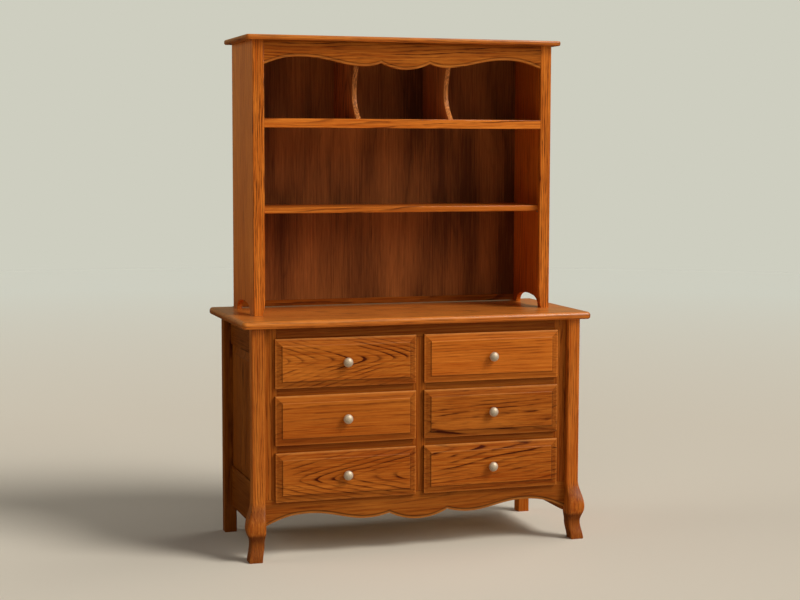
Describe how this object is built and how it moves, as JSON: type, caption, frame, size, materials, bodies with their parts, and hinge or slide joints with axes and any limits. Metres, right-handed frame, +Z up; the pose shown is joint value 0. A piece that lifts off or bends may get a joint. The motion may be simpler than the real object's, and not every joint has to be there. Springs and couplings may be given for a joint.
{
  "type": "dresser with hutch",
  "caption": "Oak dresser with hutch: raised-panel overlay drawers with round knobs, scalloped apron, cabriole front legs, and an open shelf unit with cubbies behind a scalloped valance.",
  "frame": {"origin": "on the floor, under the middle of the overall box", "axes": "+X to the right of someone who faces the drawers, +Y from front to back, +Z up"},
  "size_m": [1.335, 0.5904, 1.878],
  "materials": {
    "oak": "satin lacquer over honey stained oak",
    "back_panel": "satin stained veneer",
    "inner_wood": "plain planed wood",
    "drawer_box": "clear sealed light wood",
    "nickel": "satin nickel plate",
    "steel": "zinc plated"
  },
  "bodies": {
    "case": {"case_back_panel": "back_panel", "case_back_rails": "inner_wood", "centre_partition": "inner_wood", "drawer_kickers": "inner_wood", "drawer_runners": "inner_wood", "dresser_top": "oak", "face_frame_rails": "oak", "face_frame_stiles": "oak", "front_leg_left": "oak", "front_leg_right": "oak", "hutch_back_panel": "back_panel", "hutch_back_rails": "oak", "hutch_brackets": "steel", "hutch_cubby_shelf": "oak", "hutch_dividers": "oak", "hutch_middle_shelf": "oak", "hutch_side_left": "oak", "hutch_side_right": "oak", "hutch_stiles": "oak", "hutch_top": "oak", "hutch_valance": "oak", "rear_leg_left": "oak", "rear_leg_right": "oak", "scalloped_apron": "oak", "shelf_pins": "steel", "side_panel_left": "oak", "side_panel_right": "oak", "side_rails_left": "oak", "side_rails_right": "oak"},
    "drawer_top_left": {"drawer_bottom_top_left": "drawer_box", "drawer_box_ends_top_left": "drawer_box", "drawer_box_sides_top_left": "drawer_box", "drawer_front_top_left": "oak", "knob_top_left": "nickel"},
    "drawer_top_right": {"drawer_bottom_top_right": "drawer_box", "drawer_box_ends_top_right": "drawer_box", "drawer_box_sides_top_right": "drawer_box", "drawer_front_top_right": "oak", "knob_top_right": "nickel"},
    "drawer_middle_left": {"drawer_bottom_middle_left": "drawer_box", "drawer_box_ends_middle_left": "drawer_box", "drawer_box_sides_middle_left": "drawer_box", "drawer_front_middle_left": "oak", "knob_middle_left": "nickel"},
    "drawer_middle_right": {"drawer_bottom_middle_right": "drawer_box", "drawer_box_ends_middle_right": "drawer_box", "drawer_box_sides_middle_right": "drawer_box", "drawer_front_middle_right": "oak", "knob_middle_right": "nickel"},
    "drawer_bottom_left": {"drawer_bottom_bottom_left": "drawer_box", "drawer_box_ends_bottom_left": "drawer_box", "drawer_box_sides_bottom_left": "drawer_box", "drawer_front_bottom_left": "oak", "knob_bottom_left": "nickel"},
    "drawer_bottom_right": {"drawer_bottom_bottom_right": "drawer_box", "drawer_box_ends_bottom_right": "drawer_box", "drawer_box_sides_bottom_right": "drawer_box", "drawer_front_bottom_right": "oak", "knob_bottom_right": "nickel"}
  },
  "joints": [
    {"name": "drawer_top_left_slide", "type": "slide", "parent": "case", "child": "drawer_top_left", "axis": [0, -1, 0], "range_m": [0, 0.36]},
    {"name": "drawer_top_right_slide", "type": "slide", "parent": "case", "child": "drawer_top_right", "axis": [0, -1, 0], "range_m": [0, 0.36]},
    {"name": "drawer_middle_left_slide", "type": "slide", "parent": "case", "child": "drawer_middle_left", "axis": [0, -1, 0], "range_m": [0, 0.36]},
    {"name": "drawer_middle_right_slide", "type": "slide", "parent": "case", "child": "drawer_middle_right", "axis": [0, -1, 0], "range_m": [0, 0.36]},
    {"name": "drawer_bottom_left_slide", "type": "slide", "parent": "case", "child": "drawer_bottom_left", "axis": [0, -1, 0], "range_m": [0, 0.36]},
    {"name": "drawer_bottom_right_slide", "type": "slide", "parent": "case", "child": "drawer_bottom_right", "axis": [0, -1, 0], "range_m": [0, 0.36]}
  ]
}
